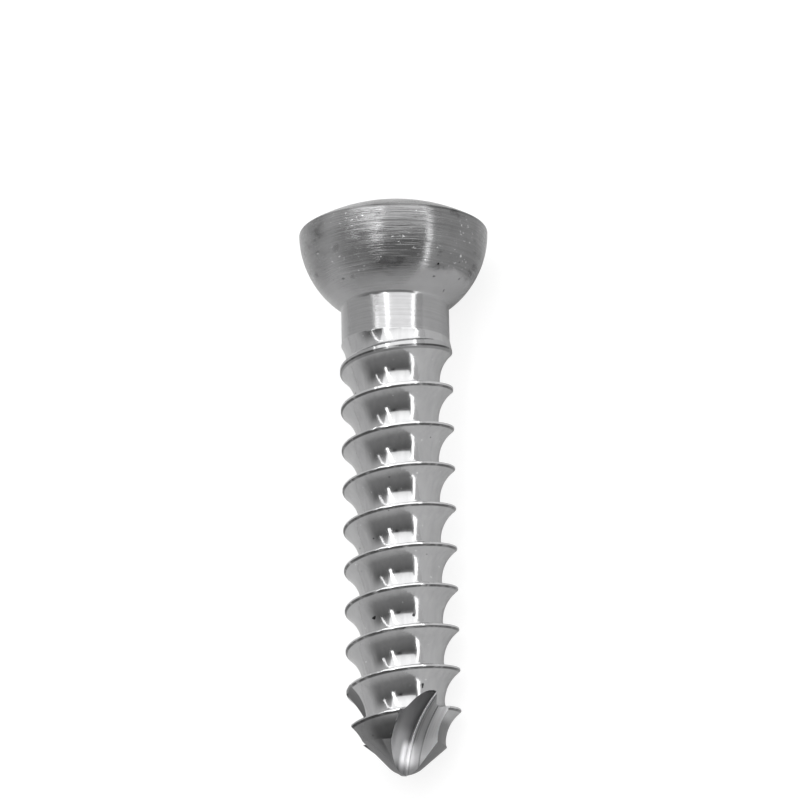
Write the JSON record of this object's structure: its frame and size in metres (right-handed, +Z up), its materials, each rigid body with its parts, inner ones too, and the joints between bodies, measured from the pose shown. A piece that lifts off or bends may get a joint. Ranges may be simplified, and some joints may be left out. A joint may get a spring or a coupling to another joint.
{
  "type": "cortical bone screw",
  "caption": "Fully threaded surgical screw with a round-underside head, hex socket, plain neck and fluted self-tapping tip, lying on its side",
  "frame": {"origin": "middle of the lying screw's box on the surface that it lies on", "axes": "+Z up; +Y along the screw towards its head; +X to the right seen from the tip"},
  "size_m": [0.008, 0.0246, 0.008],
  "materials": {
    "steel": "polished surgical steel"
  },
  "bodies": {
    "root": {"bone_screw": "steel"}
  },
  "joints": []
}
